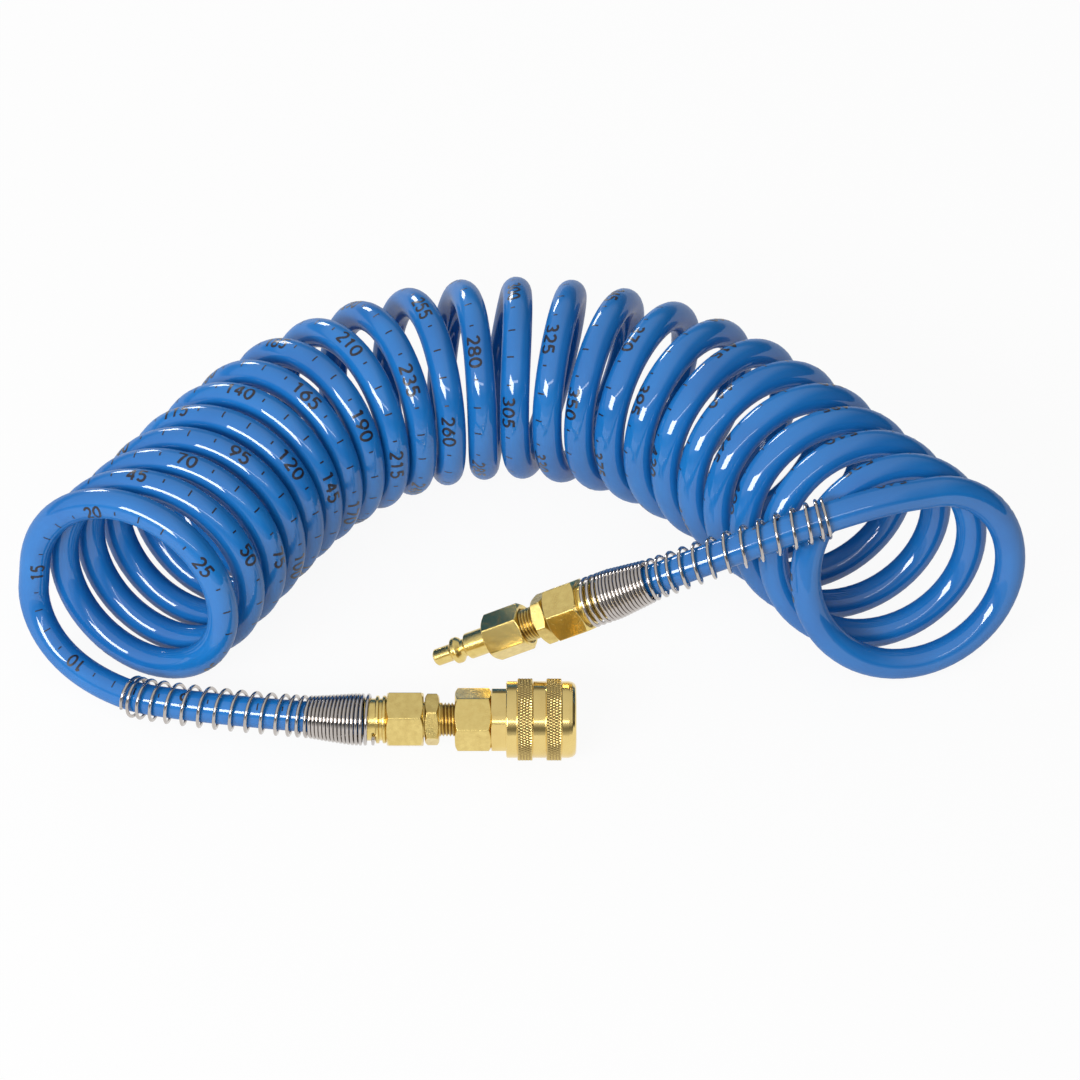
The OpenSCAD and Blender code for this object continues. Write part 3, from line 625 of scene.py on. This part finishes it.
def guardGrid(tail, end):
    # a circle of wire carried round the tail: each curl takes its step, and the
    # radius eases from the nut's tail down to the open curls
    g = {**guard, **guard["ends"][end]}
    curls = g["curls"]
    q = np.linspace(0, curls, curls * g["rings"] + 1)
    step = np.interp(q, *zip(*g["steps"]))
    dq = q[1] - q[0]
    s = g["start"] + g["wire"] / 2 + np.concatenate(
        [[0], np.cumsum((step[1:] + step[:-1]) / 2 * dq)])
    run = lineLength(tail)
    at = run[-1] - s
    centre = resample(tail, at)
    d = unit(resample(tail, np.minimum(at + g["reach"], run[-1]))
             - resample(tail, at - g["reach"]))
    n = unit(np.cross(d, np.array([0, 0, 1.0])))
    b = np.cross(d, n)
    r = np.interp(s, [0, g["gripLength"], g["taperEnd"]],
                  [g["gripDiameter"] / 2] * 2 + [g["openDiameter"] / 2])
    a = 2 * np.pi * q
    line = centre + r[:, None] * (np.cos(a)[:, None] * n + np.sin(a)[:, None] * b)
    dirs = lineDirs(line)
    out = across(line - centre, dirs)
    grid, _ = tubeGrid(line, out, np.cross(dirs, out), g["wire"] / 2, g["sides"])
    print("guard spring of the %s: %d curls, ends at %.2f mm" % (end, curls, s[-1]))
    return grid


for end, tail in (("socket", socketTail), ("plug", plugTail)):
    name = end + "Guard"
    addPiece(name, gridMesh(name, guardGrid(tail, end)), materials["nickelWire"],
             "hose", (end + "_guard_spring",))
print("guard springs made")


def hexRadius(angles, flats, turn, soft=0.35):
    # distance to the nearest flat divided by the cosine to it, with the
    # corners rounded by a small circle
    a = np.mod(angles - math.radians(turn) + math.pi / 6, math.pi / 3) - math.pi / 6
    toCorner = np.abs(a)  # angle from the nearest corner
    corner = flats / math.sqrt(3)
    plain = flats / 2 / np.cos(math.pi / 6 - toCorner)
    centre = corner - soft / math.cos(math.pi / 6)
    reach = soft ** 2 - (centre * np.sin(toCorner)) ** 2
    arcR = centre * np.cos(toCorner) + np.sqrt(np.maximum(reach, 0))
    inArc = (reach > 0) & (arcR < plain)
    return np.where(inArc, arcR, plain)


def fittingAngles(turn, perSide=14, crowding=1.6):
    # angles round a hexagon, closer together at its corners
    t = np.linspace(-1, 1, perSide + 1)[:-1]
    side = np.sign(t) * (1 - (1 - np.abs(t)) ** crowding)
    base = math.radians(turn) + math.pi / 6
    return np.concatenate([base + k * math.pi / 3 + side * math.pi / 6
                           for k in range(6)])


def hexRows(angles, flats, low, high, rim, turn, chamfer=0.6):
    # chamfer circle, edge between chamfer and flats, and the same mirrored; the
    # edge falls back by the chamfer's slope times its way out from the rim
    r = hexRadius(angles, flats, turn)
    corner = flats / math.sqrt(3)
    slope = chamfer * (corner - rim) / (corner + 0.1 - rim)
    rise = np.maximum(r - rim, 0) * slope
    flat = np.full_like(r, rim)
    return [(np.minimum(flat, r), low + 0 * r), (r, low + rise),
            (r, high - rise), (np.minimum(flat, r), high + 0 * r)]


def turnedRows(angles, points):
    # each point of a profile, radius and station, carried round as a full circle
    return [(np.full_like(angles, r), np.full_like(angles, a)) for r, a in points]


def softEdges(rows, width, outer=1.6, most=0.45):
    # every edge row becomes rows just before and after it, so a thin bevel
    # catches the light and the faces beside it stay flat; none goes further than
    # most of the way to its neighbour
    pts = np.stack([np.stack(row, -1) for row in rows])
    out = []
    n = len(pts)
    for i in range(n):
        prev, here, nxt = pts[i - 1], pts[i], pts[(i + 1) % n]
        for other, share in ((prev, outer), (prev, 1.0), (nxt, 1.0), (nxt, outer)):
            d = other - here
            length = np.linalg.norm(d, axis=-1, keepdims=True) + 1e-9
            move = np.minimum(width * share, length * most * share / outer)
            out.append(here + d / length * move)
    return np.stack(out)


sameRadius = 0.02  # rows this close to a radius are on it


def fillRows(rows, radius, low, high, step, past=0.5):
    # between two rows of one radius, rows a step apart
    out = []
    for here, nxt in zip(rows[:-1], rows[1:]):
        out.append(here)
        (r0, a0), (r1, a1) = here.mean(0), nxt.mean(0)
        inside = min(a0, a1) > low - past and max(a0, a1) < high + past
        if max(abs(r0 - radius), abs(r1 - radius)) < sameRadius and inside:
            n = max(2, int(abs(a1 - a0) / step))
            for t in np.arange(1, n) / n:
                out.append(here * (1 - t) + nxt * t)
    out.append(rows[-1])
    return np.stack(out)


def cutThread(rows, angles, radius, low, high, pitch, depth, sharp=1.25,
              crest=0.12, runOut=0.5):
    # a triangle wave of the station less the share of a turn, cut into the rows,
    # with flat crests and roots, and fading out at both ends
    r, a = rows[..., 0], rows[..., 1]
    phase = np.mod(a / pitch - angles / (2 * np.pi), 1)
    wave = np.clip(np.abs(2 * phase - 1) * sharp - crest, 0, 1)
    fade = np.clip((a - low) / runOut, 0, 1) * np.clip((high - a) / runOut, 0, 1)
    on = np.abs(r - radius) < sameRadius
    share = np.where(on, wave * fade, 0)
    rows[..., 0] = r - depth * share
    return rows, share


def cutKnurl(rows, angles, radius, bands, around, pitch, depth, sharp=1.2,
             crest=0.2, runOut=0.3):
    # two sets of slanting V grooves: distance to the nearer one sets the depth
    r, a = rows[..., 0], rows[..., 1]
    turn = angles * around / (2 * np.pi)
    groove = np.zeros_like(r)
    for sign in (1, -1):
        phase = np.mod(a / pitch + sign * turn, 1)
        groove = np.maximum(groove, np.abs(2 * phase - 1))
    wave = np.clip(groove * sharp - crest, 0, 1)
    fade = np.zeros_like(r)
    for low, high in bands:
        fade = np.maximum(fade, np.clip((a - low) / runOut, 0, 1)
                          * np.clip((high - a) / runOut, 0, 1))
    on = np.abs(r - radius) < sameRadius
    share = np.where(on, wave * fade, 0)
    rows[..., 0] = r - depth * share
    return rows, share


def fittingUv(rows, angles):
    # angle round the axis, and length along the profile in centimetres
    run = np.linalg.norm(np.diff(rows, axis=0), axis=-1).mean(1)
    run = np.concatenate([[0], np.cumsum(run)]) / 10
    return np.stack(np.broadcast_arrays(angles[None, :], run[:, None]), -1)


def addFitting(name, end, rows, angles, finish, body, replaced, cut=None):
    # a profile's rows placed on its fitting; cut is each corner's share of a cut
    at, direction, local = places[end]
    grid = placeRows(rows, angles, at, direction, local)
    # the profile is a closed ring: its map takes its first row again at its end
    uv = fittingUv(np.concatenate([rows, rows[:1]]), angles)
    mesh = gridMesh(name, grid, closeAlong=True, uv=uv)
    # the cut share, squared, is kept as cutDepth and sets how much painted shade
    # darkens each corner
    if cut is not None:
        layer = mesh.attributes.new("cutDepth", "FLOAT", "POINT")
        layer.data.foreach_set("value", (cut ** 2).astype(np.float32).ravel())
    return addPiece(name, mesh, materials[finish], body, (replaced,))


def placeRows(rows, angles, at, direction, local):
    # station along the axis, radius round it, in the fitting's own frame
    r, a = rows[..., 0], rows[..., 1]
    x, y = local
    return (at + a[..., None] * direction
            + (r * np.cos(angles))[..., None] * x
            + (r * np.sin(angles))[..., None] * y)


# each fitting's own X and Y, turned as in the solids
socketLocal = (np.array([0, 0, -1.0]), np.array([0, 1.0, 0]))
plugLocal = (np.array([-math.sin(dip) * math.cos(yaw),
                       -math.sin(dip) * math.sin(yaw), -math.cos(dip)]),
             np.array([-math.sin(yaw), math.cos(yaw), 0]))
places = {"socket": (socketAt, socketDir, socketLocal),
          "plug": (plugAt, plugDir, plugLocal)}

nut = dict(flats=20.4, length=14.2, tailDiameter=16.4, tailLength=9.0, tailEdge=0.4,
           bore=6.2, threadRadius=7.0, boreEnd=9.0, threadEnd=9.6, rimDrop=0.2,
           edge=0.12, faceGap=0.02, ridgeRise=1.1, ridgeWidth=1.4, ridgeGap=0.3,
           ridgeEdge=0.3,
           ridges={"socket": (2.6, 0), "plug": ()}, turn={"socket": 40, "plug": 10})
for end in places:
    angles = fittingAngles(nut["turn"][end])
    tailR, tailEnd, soft = nut["tailDiameter"] / 2, -nut["tailLength"], nut["tailEdge"]
    rows = turnedRows(angles, [(nut["bore"], nut["boreEnd"]), (nut["bore"], tailEnd),
                               (tailR - soft, tailEnd), (tailR, tailEnd + soft)])
    top, soft = tailR + nut["ridgeRise"], nut["ridgeEdge"]
    for back in nut["ridges"][end]:
        high = -nut["ridgeGap"] - back
        low = high - nut["ridgeWidth"]
        rows += turnedRows(angles, [(tailR, low), (top - soft, low),
                                    (top, low + soft), (top, high - soft),
                                    (top - soft, high), (tailR, high)])
    rows += turnedRows(angles, [(tailR, -nut["faceGap"])])
    rows += hexRows(angles, nut["flats"], 0, nut["length"],
                    nut["flats"] / 2 - nut["rimDrop"], nut["turn"][end])
    rows += turnedRows(angles, [(nut["threadRadius"], nut["length"]),
                                (nut["threadRadius"], nut["threadEnd"])])
    addFitting(end + "Nut", end, softEdges(rows, nut["edge"]), angles, "roughBrass",
               "hose", end + "_hose_nut")
print("hose nuts made")

stem = dict(flats=18.0, hexLow=14.8, hexHigh=20.2, stemLow=1.5, tip=3.65, barb=3.8,
            shoulder=9.5, nutThread=6.9, pipeRadius=6.58, pipeEnd=33.4, pipeEdge=0.8,
            bore=3.0, pitch=1.337, depth=0.8, plainStart=0.5, plainEnd=1.0,
            rowsPerPitch=10, rimDrop=0.2, edge=0.1, turn={"socket": 27, "plug": 53})
for end in places:
    angles = fittingAngles(stem["turn"][end])
    rows = turnedRows(angles, [
        (stem["bore"], stem["pipeEnd"]), (stem["bore"], stem["stemLow"]),
        (stem["tip"], stem["stemLow"]), (stem["barb"], stem["shoulder"]),
        (stem["nutThread"], stem["shoulder"]), (stem["nutThread"], stem["hexLow"])])
    rows += hexRows(angles, stem["flats"], stem["hexLow"], stem["hexHigh"],
                    stem["flats"] / 2 - stem["rimDrop"], stem["turn"][end])
    rows += turnedRows(angles, [
        (stem["pipeRadius"], stem["hexHigh"]),
        (stem["pipeRadius"], stem["pipeEnd"] - stem["pipeEdge"]),
        (stem["pipeRadius"] - stem["pipeEdge"], stem["pipeEnd"])])
    rows = fillRows(softEdges(rows, stem["edge"]), stem["pipeRadius"],
                    stem["hexHigh"], stem["pipeEnd"],
                    stem["pitch"] / stem["rowsPerPitch"])
    rows, cut = cutThread(rows, angles, stem["pipeRadius"],
                          stem["hexHigh"] + stem["plainStart"],
                          stem["pipeEnd"] - stem["plainEnd"], stem["pitch"],
                          stem["depth"])
    addFitting(end + "Body", end, rows, angles, "sawnBrass", "hose",
               end + "_hose_body", cut)
print("hose bodies made")

rear = dict(flats=21.5, low=26.4, high=40.5, rim=10.65, spigot=8.2, spigotEnd=45.5,
            chamber=6.4, chamberEnd=40.7, air=4.5, airEnd=36.0, tap=6.63,
            tapEnd=34.6, tapEdge=0.8, turn=3, edge=0.14)
angles = fittingAngles(rear["turn"])
rows = turnedRows(angles, [
    (rear["spigot"], rear["high"]), (rear["spigot"], rear["spigotEnd"]),
    (rear["chamber"], rear["spigotEnd"]), (rear["chamber"], rear["chamberEnd"]),
    (rear["air"], rear["chamberEnd"]), (rear["air"], rear["airEnd"]),
    (rear["tap"], rear["tapEnd"]), (rear["tap"], rear["low"] + rear["tapEdge"]),
    (rear["tap"] + rear["tapEdge"], rear["low"])])
rows += hexRows(angles, rear["flats"], rear["low"], rear["high"], rear["rim"],
                rear["turn"])
addFitting("couplerRear", "socket", softEdges(rows, rear["edge"]), angles,
           "roughBrass", "hose", "coupler_rear_body")
print("coupler body made")

# lip: how far before the front end, as a share of the lip, and the drop in radius
sleeve = dict(low=46.2, high=73.3, plain=14.9, band=15.9, edge=0.4, bandWidth=5.6,
              bands=(50.7, 61.9), skirt=13.2, pocket=11.6, pocketAt=51.8,
              land=8.65, landAt=58.7, coneAt=64.537, nose=10.776, noseAt=71.3,
              lip=((0.5, 0), (0.25, 0.35), (0.08, 1.1), (0, 2)), around=85,
              pitch=2.28, rowsPerPitch=8, depth=0.36, columns=680, soft=0.1,
              shade=0.75)
angles = np.linspace(0, 2 * np.pi, sleeve["columns"], endpoint=False)
plain, edge, high = sleeve["plain"], sleeve["edge"], sleeve["high"]
outline = [(sleeve["skirt"], sleeve["low"]), (plain - edge, sleeve["low"]),
           (plain, sleeve["low"] + edge)]
knurled = [(low, low + sleeve["bandWidth"]) for low in sleeve["bands"]]
for low, top in knurled:
    outline += [(plain, low - edge), (sleeve["band"], low), (sleeve["band"], top),
                (plain, top + edge)]
lip = high - knurled[-1][1]
outline += [(plain - drop, high - share * lip) for share, drop in sleeve["lip"]]
outline += [(sleeve["nose"] + edge, high), (sleeve["nose"], high - edge),
            (sleeve["nose"], sleeve["noseAt"]), (sleeve["land"], sleeve["coneAt"]),
            (sleeve["land"], sleeve["landAt"]), (sleeve["pocket"], sleeve["landAt"]),
            (sleeve["pocket"], sleeve["pocketAt"]),
            (sleeve["skirt"], sleeve["pocketAt"])]
rows = softEdges(turnedRows(angles, outline), sleeve["soft"])
rows = fillRows(rows, sleeve["band"], sleeve["low"], high,
                sleeve["pitch"] / sleeve["rowsPerPitch"])
rows, cut = cutKnurl(rows, angles, sleeve["band"], knurled, sleeve["around"],
                     sleeve["pitch"], sleeve["depth"])
# the knurl's cut share is raised to the shade power first, so its painted groove shade
# spreads wider
addFitting("lockSleeve", "socket", rows, angles, "turnedBrass", "sleeve",
           "lock_sleeve", cut ** sleeve["shade"])
print("sleeve knurled")

plug = dict(flats=17.0, low=26.6, high=43.0, rim=8.4, stem=5.3, stemEnd=54.3,
            neck=3.6, neckEnd=56.0, collarEnd=60.9, tip=3.45, tipEnd=68.7,
            tipChamfer=0.8, taper=1.2, flank=1.3, bore=2.3, boreEnd=36.6, tap=6.63,
            tapEnd=34.6, tapEdge=0.8, collarDrop=0.3, collarRise=0.4,
            collarFall=0.2, turn=34, edge=0.12)
angles = fittingAngles(plug["turn"])
rows = turnedRows(angles, [
    (plug["bore"], plug["tipEnd"]), (plug["bore"], plug["boreEnd"]),
    (plug["tap"], plug["tapEnd"]), (plug["tap"], plug["low"] + plug["tapEdge"]),
    (plug["tap"] + plug["tapEdge"], plug["low"])])
rows += hexRows(angles, plug["flats"], plug["low"], plug["high"], plug["rim"],
                plug["turn"])
collarLow = plug["neckEnd"] + plug["flank"]
collarHigh = plug["collarEnd"] - plug["flank"]
rows += turnedRows(angles, [
    (plug["stem"], plug["high"]), (plug["stem"], plug["stemEnd"] - plug["taper"]),
    (plug["neck"], plug["stemEnd"]), (plug["neck"], plug["neckEnd"]),
    (plug["stem"] - plug["collarDrop"], collarLow),
    (plug["stem"], collarLow + plug["collarRise"]),
    (plug["stem"], collarHigh - plug["collarFall"]),
    (plug["tip"], plug["collarEnd"]),
    (plug["tip"], plug["tipEnd"] - plug["tipChamfer"]),
    (plug["tip"] - plug["tipChamfer"], plug["tipEnd"])])
addFitting("plugNipple", "plug", softEdges(rows, plug["edge"]), angles, "roughBrass",
           "hose", "plug_nipple")
print("plug made")

# what stays a solid of the frame gets its finish
carriedFinish = {
    "socket_hose_end": "hoseBlue", "plug_hose_end": "hoseBlue",
    "coupler_front_body": "turnedBrass", "valve_poppet": "turnedBrass",
    "body_seal": "sealRubber", "mouth_seal": "sealRubber", "valve_seal": "sealRubber",
    "sleeve_spring": "hardSteel", "sleeve_stop_ring": "hardSteel",
    "lock_ball_1": "hardSteel", "lock_ball_2": "hardSteel",
    "lock_ball_3": "hardSteel", "lock_ball_4": "hardSteel",
    "valve_spring": "hardSteel",
}
for node, finish in carriedFinish.items():
    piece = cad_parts[node]
    piece.data.materials.clear()
    piece.data.materials.append(materials[finish])

# both springs' joints, how far each travels, and which end holds: still is the end
# that holds, and 1 is the one nearer to the mouth; here each spring only gets a mesh
# of its own
hiddenSprings = dict(travel=3.5, joints={"sleeve_spring": "sleeve_slide",
                                         "valve_spring": "valve_slide"},
                     still={"sleeve_spring": 1, "valve_spring": 0})
for node, joint in hiddenSprings["joints"].items():
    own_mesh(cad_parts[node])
print("carried nodes finished:", len(carriedFinish))

# where the camera looks, from how far and how steeply, in millimetres and degrees
view = dict(target=(7.18, 9.757, 7.5), distance=1500.0, elevation=45.0,
            sensor=36.0, focal=36.0 * 3659 / 1080, reach=50.0)
camera = bpy.data.cameras.new("camera")
camera.lens = view["focal"]
camera.sensor_width = view["sensor"]
camera.clip_end = view["reach"]
cameraObject = bpy.data.objects.new("camera", camera)
bpy.context.scene.collection.objects.link(cameraObject)
tilt = math.radians(view["elevation"])
targetX, targetY, targetZ = view["target"]
cameraObject.location = (targetX * mm,
                         (targetY - view["distance"] * math.cos(tilt)) * mm,
                         (targetZ + view["distance"] * math.sin(tilt)) * mm)
cameraObject.rotation_euler = (math.radians(90 - view["elevation"]), 0, 0)
bpy.context.scene.camera = cameraObject

# lamps: bearing from the front (plus is to the right), height, distance in metres,
# width and height in metres, and watts
studio = dict(floor=(0.74, 0.74, 0.74), floorHalf=4, floorRough=0.9,
              floorSpecular=0.1, glow=0.93, lampBase=0.03,
              # from where to where the room darkens to the right, and to how much
              rightEnd=(0.45, 0.8, 0.15),
              # the room's strength at so many degrees from the front over the top
              room=[(0, 0.55), (8, 0.5), (13, 0.2), (24, 0.16), (32, 0.55),
                    (45, 0.8), (85, 0.76), (143, 0.66), (155, 0.16), (168, 0.12),
                    (180, 0.35)],
              lamps=[("keyLamp", -33, 31, 1.6, (0.95, 0.4), 17),
                     ("backLamp", -152, 16, 1.5, (0.34, 0.3), 5.5),
                     ("stripLamp", 0, 39, 1.9, (1.6, 0.1), 2.4)])
floorMesh = bpy.data.meshes.new("floor")
half = studio["floorHalf"]
floorMesh.from_pydata([(-half, -half, 0), (half, -half, 0), (half, half, 0),
                       (-half, half, 0)], [], [(0, 1, 2, 3)])
floorFinish = bpy.data.materials.new("floorPaint")
floorFinish.use_nodes = True
floorTree = floorFinish.node_tree
floorShader = floorTree.nodes["Principled BSDF"]
floorShader.inputs["Base Color"].default_value = (*studio["floor"], 1)
floorShader.inputs["Roughness"].default_value = studio["floorRough"]
floorShader.inputs["Specular IOR Level"].default_value = studio["floorSpecular"]
floorEnd = floorTree.nodes["Material Output"]
# camera, glossy and transmission rays see a floor that is nearly plain white
floorPath = floorTree.nodes.new("ShaderNodeLightPath")
floorGlow = floorTree.nodes.new("ShaderNodeEmission")
floorGlow.inputs["Color"].default_value = (1, 1, 1, 1)
floorGlow.inputs["Strength"].default_value = 1.0
floorMix = floorTree.nodes.new("ShaderNodeMixShader")
seen = addMath(floorTree, "ADD", floorPath.outputs["Is Camera Ray"],
               floorPath.outputs["Is Glossy Ray"])
seen = addMath(floorTree, "ADD", seen, floorPath.outputs["Is Transmission Ray"], True)
floorTree.links.new(addMath(floorTree, "MULTIPLY", seen, studio["glow"]),
                    floorMix.inputs["Fac"])
floorTree.links.new(floorShader.outputs[0], floorMix.inputs[1])
floorTree.links.new(floorGlow.outputs[0], floorMix.inputs[2])
floorTree.links.new(floorMix.outputs[0], floorEnd.inputs["Surface"])
floorMesh.materials.append(floorFinish)
floor = bpy.data.objects.new("floor", floorMesh)
bpy.context.scene.collection.objects.link(floor)

# the room's strength by the angle from the front horizon over the top
world = bpy.data.worlds.new("world")
bpy.context.scene.world = world
world.use_nodes = True
worldTree = world.node_tree
worldShader = worldTree.nodes["Background"]
worldParts = worldTree.nodes.new("ShaderNodeSeparateXYZ")
worldTree.links.new(worldTree.nodes.new("ShaderNodeTexCoord").outputs["Generated"],
                    worldParts.inputs[0])
front = addMath(worldTree, "MULTIPLY", worldParts.outputs["Y"], -1.0)
around = addMath(worldTree, "ARCTAN2", worldParts.outputs["Z"], front)
share = addMath(worldTree, "DIVIDE", around, math.pi, True)
room = worldTree.nodes.new("ShaderNodeValToRGB")
worldTree.links.new(share, room.inputs["Fac"])
for k, (degrees, strength) in enumerate(studio["room"]):
    if k < 2:
        stop = room.color_ramp.elements[k]
        stop.position = degrees / 180
    else:
        stop = room.color_ramp.elements.new(degrees / 180)
    stop.color = (strength, strength, strength, 1)
worldTree.links.new(room.outputs["Color"], worldShader.inputs["Color"])
low, high, endStrength = studio["rightEnd"]
worldTree.links.new(addMap(worldTree, worldParts.outputs["X"], low, high, 1.0,
                           endStrength), worldShader.inputs["Strength"])
for name, bearing, height, distance, size, power in studio["lamps"]:
    lamp = bpy.data.lights.new(name, "AREA")
    lamp.shape = "RECTANGLE"
    lamp.size, lamp.size_y = size
    lamp.energy = power
    lampObject = bpy.data.objects.new(name, lamp)
    bpy.context.scene.collection.objects.link(lampObject)
    turn, rise = math.radians(bearing), math.radians(height)
    lampObject.location = (distance * math.sin(turn) * math.cos(rise),
                           -distance * math.cos(turn) * math.cos(rise),
                           distance * math.sin(rise) + studio["lampBase"])
    lampObject.rotation_euler = (math.pi / 2 - rise, 0, turn)
bpy.context.scene.view_settings.view_transform = "Standard"
print("camera, floor and lamps placed")
